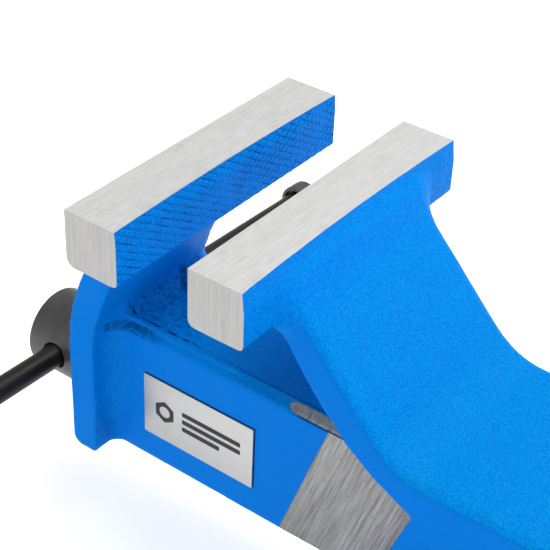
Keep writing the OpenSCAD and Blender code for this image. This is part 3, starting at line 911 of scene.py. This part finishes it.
def grind(obj, point, normal, material, region):
    """Cuts off what stands past a plane in a region and closes the cut with one flat face."""
    bm = bmesh.new()
    bm.from_mesh(obj.data)
    near = [f for f in bm.faces if any(region(v.co) for v in f.verts)]
    parts = set(near)
    for f in near:
        parts.update(f.edges)
        parts.update(f.verts)
    cut = bmesh.ops.bisect_plane(bm, geom=list(parts), dist=2e-5, plane_co=Vector(point) * MM,
                                 plane_no=Vector(normal), clear_outer=True)
    rim = [g for g in cut["geom_cut"] if isinstance(g, bmesh.types.BMEdge) and g.is_boundary]
    for f in bmesh.ops.holes_fill(bm, edges=rim, sides=0)["faces"]:
        f.material_index = material
        if f.normal.dot(Vector(normal)) < 0:
            f.normal_flip()
    bm.to_mesh(obj.data)
    bm.free()
    shade(obj, 50)


def grind_jaw(obj):
    """Grinds the jaws' tops and ends."""
    bottom = (JAW_TOP - JAW_HEIGHT - 2) * MM

    def near_top(p):
        return p.z > (JAW_TOP - 2) * MM

    def near_end(p):
        return p.z > bottom and abs(p.x) > (JAW_HALF - 2) * MM

    grind(obj, (0, 0, JAW_TOP), (0, 0, 1), TOP_FACE, near_top)
    for side in (-1, 1):
        grind(obj, (side * JAW_HALF, 0, 0), (side, 0, 0), END_FACE, near_end)
    for v in obj.data.vertices:
        v.co.z = min(v.co.z, JAW_TOP * MM)


def serrated_face(name, y_grip, back):
    """A jaw's gripping face: shallow crossed grooves, partly filled by the paint."""
    bottom, corner = JAW_TOP - JAW_HEIGHT, GRIP_EDGE_R[back]
    step = 0.42
    nx, nz = round(2 * JAW_HALF / step), round(JAW_HEIGHT / step)
    xs, zs = np.linspace(-JAW_HALF, JAW_HALF, nx + 1), np.linspace(bottom, JAW_TOP, nz + 1)
    x, z = np.meshgrid(xs, zs, indexing="ij")
    inner = np.minimum.reduce([x + JAW_HALF, JAW_HALF - x, z - bottom, JAW_TOP - z])
    groove = np.zeros_like(x)
    for lean in (-GROOVE_ANGLE, GROOVE_ANGLE):
        across = (z * math.cos(lean) - x * math.sin(lean)) / GROOVE_PITCH
        away = np.abs(across - np.round(across)) * GROOVE_PITCH
        groove = np.maximum(groove, ramp(away, GROOVE_HALF, 0))
    fill = np.zeros_like(x)
    for i in range(nx + 1):
        for k in range(nz + 1):
            p = Vector((xs[i], 7.3 * back, zs[k]))
            fill[i, k] = 0.62 + 1.0 * noise.noise(p / 14.0) + 0.5 * noise.noise(p / 4.0)
    fill = np.clip(fill, 0.12, 1.0)
    off_rim = ramp(inner, 0, 0.8)
    depth = GROOVE_DEPTH * groove * fill * off_rim
    lumps = 0.03 * np.sin(x * 2.1 + np.sin(z * 1.7)) * off_rim
    low = np.clip(corner - (z - bottom), 0, corner)
    bend = corner - np.sqrt(np.maximum(corner ** 2 - low ** 2, 0))
    bend = bend + grip_lean(x, z, back)
    y = y_grip + back * (depth + 0.03 + lumps + bend)
    y_rear = y_grip + back * (bend + SERRATION_T + 0.02)
    points = np.stack([np.stack([x, y, z], -1), np.stack([x, y_rear, z], -1)])
    number = np.arange(points.size // 3).reshape(2, nx + 1, nz + 1)
    front = number[0]
    skin = np.stack([front[:-1, :-1], front[1:, :-1], front[1:, 1:], front[:-1, 1:]], -1).reshape(-1, 4)
    rim = np.concatenate([number[:, :-1, 0], number[:, -1, :-1], number[:, :0:-1, -1],
                          number[:, 0, :0:-1]], axis=1)
    after = np.roll(rim, -1, axis=1)
    sides = np.stack([rim[0], rim[1], after[1], after[0]], -1)
    obj = outward(new_mesh(name, points.reshape(-1, 3), [*skin, *sides, rim[1]]))
    for face in obj.data.polygons[len(skin):-1]:
        c = face.center / MM
        if c.z > JAW_TOP - 0.01:
            face.material_index = TOP_FACE
        elif abs(c.x) > JAW_HALF - 0.01:
            face.material_index = END_FACE
    return obj


# ---- hardware

def spindle():
    """Head, journal and screw; the thread is a helical ribbon round a plain core."""
    journal_end = PLATE_BACK + 26
    end = SPINDLE_HI[1]
    core = lathe("spindle_shaft", turned([
        (0, HEAD_FRONT, 0), (HEAD_R, HEAD_FRONT, 2.0), (HEAD_R, HEAD_BACK, 1.2), (JOURNAL_R, HEAD_BACK, 0.6),
        (JOURNAL_R, journal_end, 0.8), (THREAD_ROOT, journal_end + 1.2, 0.4), (THREAD_ROOT, end, 1.5),
        (0, end, 0)
    ]), "y", (0, 0, AXIS_Z))
    mouth_r = CROSS_HOLE_R + 0.5
    half = [(0, 30), (mouth_r, 30), (mouth_r, HEAD_R - 0.6), (CROSS_HOLE_R, HEAD_R - 1.4)]
    hole = lathe("cutter", [(r, -x) for r, x in half] + half[::-1], "x", (0, 0, 0), 48)
    drill(core, on_handle_axis(hole))
    steps = 40                                 # in one turn of the thread
    count = int((end - journal_end - 2) / PITCH * steps)
    base_r = THREAD_ROOT - 0.15
    flank = ((0.0, THREAD_ROOT), (0.30, THREAD_ROOT), (0.42, THREAD_R), (0.80, THREAD_R))
    ribbon = []
    for k in range(count + 1):
        angle = 2 * math.pi * k / steps
        for share, radius in flank:
            y = journal_end + 1 + PITCH * (k / steps + share)
            rise = min(1.0, (end - y) / 2.6, (y - journal_end) / 3.0)
            r = base_r + (radius - base_r) * max(0.0, rise)
            ribbon.append((r * math.cos(angle), min(y, end - 0.05), AXIS_Z - r * math.sin(angle)))
    faces = []
    for k in range(count):
        for j in range(3):
            a = 4 * k + j
            faces.append([a, a + 1, a + 5, a + 4])
        if k + steps + 1 <= count:
            a, b = 4 * k + 3, 4 * (k + steps)
            faces.append([a, b, b + 4, a + 4])
    return core, outward(new_mesh("spindle_thread", ribbon, faces))


def axis_ring(name, node, inner):
    """A washer on the spindle, with eased edges."""
    low, high = corners(node)
    section = [(inner, low[1]), (high[0], low[1]), (high[0], high[1]), (inner, high[1])]
    return lathe(name, turned([(r, y, 0.35) for r, y in section]), "y", (0, 0, AXIS_Z), 72)


def on_handle_axis(obj):
    """Moves a part drawn along X to the handle's place in the head."""
    turn = Matrix.Rotation(-HANDLE_TURN, 4, "Y")
    obj.data.transform(Matrix.Translation(Vector((0, BAR_Y, AXIS_Z)) * MM) @ turn)
    return obj


def handle_cap(name, side):
    """A cap pressed on the bar: a shallow cup round the bar, and a domed end."""
    mouth = BAR_MIDDLE + side * (BAR_HALF + CAP_WALL - CAP_LENGTH)
    seat = CAP_LENGTH - CAP_WALL + 0.02
    bore, end = BAR_R + 0.02, CAP_LENGTH - 0.1
    profile = turned([
        (0, seat, 0), (bore, seat, 0), (bore, 3.2, 0), (7.1, 3.2, 0.5), (7.3, 0.0, 0.6),
        (CAP_R, 0.0, 1.1), (CAP_R, end, 2.3), (0, end, 0)
    ])
    return on_handle_axis(lathe(name, [(r, side * t) for r, t in profile], "x", (mouth, 0, 0), 64))


def handle_bar():
    low, high = BAR_MIDDLE - BAR_HALF, BAR_MIDDLE + BAR_HALF
    profile = turned([(0, low, 0), (BAR_R, low, 1), (BAR_R, high, 1), (0, high, 0)])
    return on_handle_axis(lathe("handle_rod", profile, "x", (0, 0, 0), 48))


def retainer_spring():
    low, high = corners("retainer_spring")
    radius = (high[0] - low[0]) / 2 - SPRING_WIRE
    start, end = low[1] + SPRING_WIRE + SPRING_GAP, high[1] - SPRING_WIRE
    path = []
    for share in np.linspace(0, 1, SPRING_TURNS * 36 + 1):
        a = 2 * math.pi * SPRING_TURNS * share
        path.append((radius * math.cos(a), start + (end - start) * share, AXIS_Z + radius * math.sin(a)))
    return tube("coil_spring", path, SPRING_WIRE)


def cotter_pin():
    """A split pin: an eye above the shaft and two bent legs below it."""
    low, high = corners("cotter_pin")
    y, reach = (low[1] + high[1]) / 2, (high[2] - low[2]) / 2
    path = []
    for side in (-1, 1):
        leg = [(side * 4.2, -reach + 3.6), (side * 2.6, -reach + 2.8), (side * 0.95, -reach + 4.6)]
        leg += [(side * 0.95, z) for z in np.linspace(-reach + 7, reach - 5, 8)]
        leg += [(side * 1.5, reach - 3.6), (side * 1.9, reach - 2.2), (side * 1.2, reach - 1.2)]
        path += leg if side < 0 else leg[::-1]
    return tube("split_pin", [(x, y, AXIS_Z + z) for x, z in path], 0.9)


def clamp_lever(name, node):
    """The bar and ball of a clamp, along the line from its nut to the ball's centre."""
    low, high = corners(node)
    nut_low, nut_high = corners(node.replace("handle", "nut"))
    hub = (nut_low[:2] + nut_high[:2]) / 2
    z = (low[2] + high[2]) / 2
    far = np.array([high[0] if abs(high[0]) > abs(low[0]) else low[0],
                    low[1] if abs(low[1]) > abs(high[1]) else high[1]])
    centre = far - np.sign(far - hub) * BALL_R
    reach = float(np.linalg.norm(centre - hub))
    angle = math.atan2(centre[1] - hub[1], centre[0] - hub[0])
    neck = [(0, -5), (4.5, -5), (4.5, reach - BALL_R - 3), (4.8, reach - BALL_R - 0.2)]
    sphere = [(BALL_R * math.sin(a), reach - BALL_R * math.cos(a))
              for a in np.linspace(math.asin(5.4 / BALL_R), math.pi, 22)]
    sphere[-1] = (0, reach + BALL_R)
    obj = lathe(name, neck + sphere, "x", (0, 0, 0), 48)
    place = Matrix.Translation((hub[0] * MM, hub[1] * MM, z * MM)) @ Matrix.Rotation(angle, 4, "Z")
    obj.data.transform(place)
    return obj


def clamp_nut(name, node):
    low, high = corners(node)
    centre = ((low[0] + high[0]) / 2, (low[1] + high[1]) / 2, 0)
    r = (high[0] - low[0]) / 2
    profile = turned([
        (0, low[2] + 2, 0), (6.5, low[2] + 2, 0), (6.8, low[2], 0.3), (r, low[2], 0.8), (r, low[2] + 9, 0.5),
        (r - 1.0, low[2] + 10.5, 0.5), (r - 1.0, high[2] - 14, 0.5), (r, high[2] - 12.5, 0.5),
        (r, high[2], 3.0), (0, high[2], 0)
    ])
    return lathe(name, profile, "z", centre, 72)


def table_skin(place, normal):
    """Lumps on the turntable's rim and lugs only."""
    machined = (place[:, 2] < 0.6) | ((place[:, 2] > BASE_HI[2] - 1) & (normal[:, 2] > 0.9))
    machined |= np.hypot(place[:, 0], place[:, 1]) < 79
    return np.where(machined, 0, 0.15)


def turntable():
    """The swivel base: a round table with four lugs, a ring slot and the pivot's bore."""
    height, diagonal = BASE_HI[2], math.sqrt(0.5)
    lugs = [(sx, sy) for sx in (-1, 1) for sy in (-1, 1)]
    s = Space((BASE_LO[0], BASE_LO[1], 0), (BASE_HI[0], BASE_HI[1], height), TABLE_VOXEL)
    shape = disc(s, 0, 0, 84, -STOCK, height, 2.4)
    for sx, sy in lugs:
        lug = disc(s, sx * LUG_AT, sy * LUG_AT, LUG_R, -STOCK, LUG_HEIGHT, 1.8)
        along = (s.x * sx + s.y * sy) * diagonal
        aside = np.abs(s.x * sx - s.y * sy) * diagonal - LUG_R
        arm = both(np.maximum(aside, np.abs(along - 75) - 22) + 0 * s.z, slab(s.z, -STOCK, LUG_HEIGHT), 1.8)
        shape = either(shape, np.minimum(lug, arm), 5.0)
    from_slot = np.abs(np.hypot(s.x, s.y) - EAR_X)
    slot = np.maximum(from_slot - 5.5, 10 - s.z)
    slot = np.minimum(slot, np.maximum(from_slot - 9, np.abs(s.z - 10.5) - 4.5))
    slot = np.minimum(slot, disc(s, 0, EAR_X, 9, 6, height + 9, 0.3))
    shape = without(shape, slot, 0.8)
    shape = without(shape, disc(s, 0, 0, 8.1, -9, height + 9, 0.2), 0.6)
    shape = without(shape, disc(s, 0, 0, 17, -9, 13.5, 0.3), 0.6)
    for sx, sy in lugs:
        shape = without(shape, disc(s, sx * LUG_AT, sy * LUG_AT, BENCH_HOLE_R, -9, 30, 0.2), 0.9)
    obj = from_field("turntable", s, np.maximum(shape, -s.z))
    cast_skin(obj, table_skin)
    return obj


def name_plate():
    """A blank plate with a generic hexagon-nut sign and three plain bars."""
    low, high = NAME_LO, NAME_HI
    sheet = prism("plate_sheet", rectangle(low[1:], high[1:], 0.8), "x", low[0], high[0] - 0.05)
    add_bevel(sheet, 0.15, 30)
    apply_modifiers(sheet)
    shade(sheet, 40)
    middle_z = (low[2] + high[2]) / 2

    def circle(radius, count, start=0.0):
        angles = start + 2 * math.pi * np.arange(count) / count
        return np.stack([low[1] + 12.5 + radius * np.cos(angles), middle_z + radius * np.sin(angles)], 1)

    ink_low = high[0] - 0.06
    hexagon = rounded([(a, b, 0.5) for a, b in circle(6.2, 6, math.pi / 6)], 20)
    signs = [washer_shape("sign_nut", hexagon, circle(3.1, 24), ink_low, high[0])]
    start = low[1] + 23
    for n, (length, dz) in enumerate(((34.0, 4.4), (34.0, 0.0), (22.0, -4.4))):
        bar = rectangle((start, middle_z + dz - 1.3), (start + length, middle_z + dz + 1.3), 0.6)
        signs.append(prism("sign_bar_%d" % n, bar, "x", ink_low, high[0]))
    return sheet, signs


def washer_shape(name, outer, inner, low, high):
    """A flat plate across X with a hole, as quads between two outlines resampled alike."""
    centre = inner.mean(axis=0)
    sides = len(inner)
    ring_points = []
    for k in range(sides):
        d = unit(inner[k] - centre)
        best = 0.0
        for p, q in zip(outer, np.roll(outer, -1, axis=0)):
            e = q - p
            det = d[0] * e[1] - d[1] * e[0]
            if abs(det) > 1e-9:
                w = p - centre
                t = (w[0] * e[1] - w[1] * e[0]) / det
                along = (w[0] * d[1] - w[1] * d[0]) / det
                if 0 <= along <= 1 and t > best:
                    best = t
        ring_points.append(centre + d * best)
    points = [(x, p[0], p[1]) for x in (low, high) for line in (inner, ring_points) for p in line]
    faces = []
    for k in range(sides):
        m = (k + 1) % sides
        for a, b in ((0, 1), (3, 2), (1, 3), (2, 0)):
            faces.append([a * sides + k, b * sides + k, b * sides + m, a * sides + m])
    return outward(new_mesh(name, points, faces))


def eased(node, material, width):
    """A CAD node shown as it is, with its edges eased by modifiers and its own material."""
    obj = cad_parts[node]
    merge = obj.modifiers.new("merge", "DECIMATE")
    merge.decimate_type = "DISSOLVE"
    merge.angle_limit = math.radians(1)
    add_bevel(obj, width, 40)
    obj.data.materials.clear()
    obj.data.materials.append(material)


# ---- camera, light and floor

CAMERA_TURN = (35.72, 35.02, 2.405)  # azimuth, elevation and roll, in degrees
CAMERA_TARGET = Vector((0, FIXED_Y - 13.08, JAW_TOP - 49.43))
CAMERA_DISTANCE = 644.2
CAMERA_LENS = 96.85
FLOOR_HALF = 3000
LIT_POINT = (0, -0.1, 0.15)


def place_camera():
    """Looks down the nameplate side from behind the fixed jaw, rolled slightly."""
    azimuth, elevation, roll = [math.radians(a) for a in CAMERA_TURN]
    away = Vector((math.cos(elevation) * math.cos(azimuth), math.cos(elevation) * math.sin(azimuth),
                   math.sin(elevation)))
    level = Vector((0, 0, 1)).cross(away).normalized()
    right = Matrix.Rotation(roll, 3, away) @ level
    up = away.cross(right)
    camera = add_object("camera", bpy.data.cameras.new("camera"))
    place = Matrix.Translation((CAMERA_TARGET + away * CAMERA_DISTANCE) * MM)
    camera.matrix_world = place @ Matrix((right, up, away)).transposed().to_4x4()
    camera.data.lens = CAMERA_LENS
    camera.data.sensor_width = 36
    camera.data.clip_start = 0.01
    bpy.context.scene.camera = camera


def area_light(name, place, size, power):
    """A square light at a place in metres, aimed at the vise."""
    data = bpy.data.lights.new(name, "AREA")
    data.size = size
    data.energy = power
    lamp = add_object(name, data)
    lamp.location = place
    lamp.rotation_euler = (Vector(LIT_POINT) - Vector(place)).to_track_quat("-Z", "Y").to_euler()


def studio():
    world = bpy.data.worlds.new("studio")
    world.use_nodes = True
    sky = world.node_tree.nodes["Background"].inputs
    sky["Color"].default_value = (1, 1, 1, 1)
    sky["Strength"].default_value = 0.60
    bpy.context.scene.world = world
    bpy.context.scene.view_settings.view_transform = "Standard"
    area_light("key", (-0.5, 0.5, 1.6), 1.4, 29)
    area_light("fill", (1.5, -0.4, 0.9), 1.2, 4)
    square = [(-1, -1), (1, -1), (1, 1), (-1, 1)]
    floor = new_mesh("floor", [(x * FLOOR_HALF, y * FLOOR_HALF, 0) for x, y in square], [[0, 1, 2, 3]])
    f = Finish("floor", 0.0, 0.9, specular=0.1)
    tone = f.grain(f.place, 3, 2)
    f.put(f.shader, "Emission Color", (1, 1, 1, 1))
    f.put(f.shader, "Emission Strength", 0.48)
    floor.data.materials.append(f.finish(f.mixed(f.spread(tone, 0.3, 0.7), (0.93, 0.93, 0.93, 1),
                                                 (0.95, 0.95, 0.95, 1))))


# ---- assembly

def main():
    place_camera()
    studio()

    def dress(obj, body, materials, replaced=()):
        for material in materials:
            obj.data.materials.append(material)
        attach(obj, body)
        if replaced:
            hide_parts(*replaced)

    def dress_casting(obj, body, paint, replaced=()):
        dress(obj, body, (paint, GROUND_TOP, GROUND_END_SHADED), replaced)

    dress_casting(fixed_body(), "body", PAINTED_HOUSING, ["static_body"])
    dress_casting(moving_casting(), "slide", PAINTED_SLIDE, ["moving_jaw"])
    dress_casting(serrated_face("fixed_grip", FIXED_Y, 1), "body", PAINTED_GRIP)
    dress_casting(serrated_face("moving_grip", MOVING_Y, -1), "slide", PAINTED_GRIP)
    dress(turntable(), "base", [PAINTED], ["swivel_base"])

    sheet, signs = name_plate()
    dress(sheet, "slide", [PLATE_METAL], ["nameplate"])
    for sign in signs:
        dress(sign, "slide", [INK])

    shaft, thread = spindle()
    dress(shaft, "screw", [BLACKED], ["spindle"])
    dress(thread, "screw", [BRIGHT])
    for node, name, inner, body in (("thrust_washer", "thrust_ring", 12.8, "slide"),
                                    ("spring_washer", "spring_plate", 12.7, "screw")):
        dress(axis_ring(name, node, inner), body, [ZINC], [node])
    dress(retainer_spring(), "screw", [ZINC], ["retainer_spring"])
    dress(cotter_pin(), "screw", [ZINC], ["cotter_pin"])
    dress(handle_bar(), "handle", [BLACKED_BAR], ["handle_bar"])
    for side, name in ((-1, "left"), (1, "right")):
        cap, nut, lever = "handle_cap_" + name, "clamp_nut_" + name, "clamp_handle_" + name
        for obj, body, node in ((handle_cap("cap_" + name, side), "handle", cap),
                                (clamp_nut("clamp_hub_" + name, nut), "clamp_" + name, nut),
                                (clamp_lever("clamp_lever_" + name, lever), "clamp_" + name, lever)):
            dress(obj, body, [BLACKED], [node])
    eased("spindle_nut", BRONZE, 0.8)
    for node in ("nut_screws", "nut_screw_washers", "pivot_bolt", "pivot_washer", "clamp_bolts",
                 "clamp_washers"):
        eased(node, ZINC, 0.4)


main()
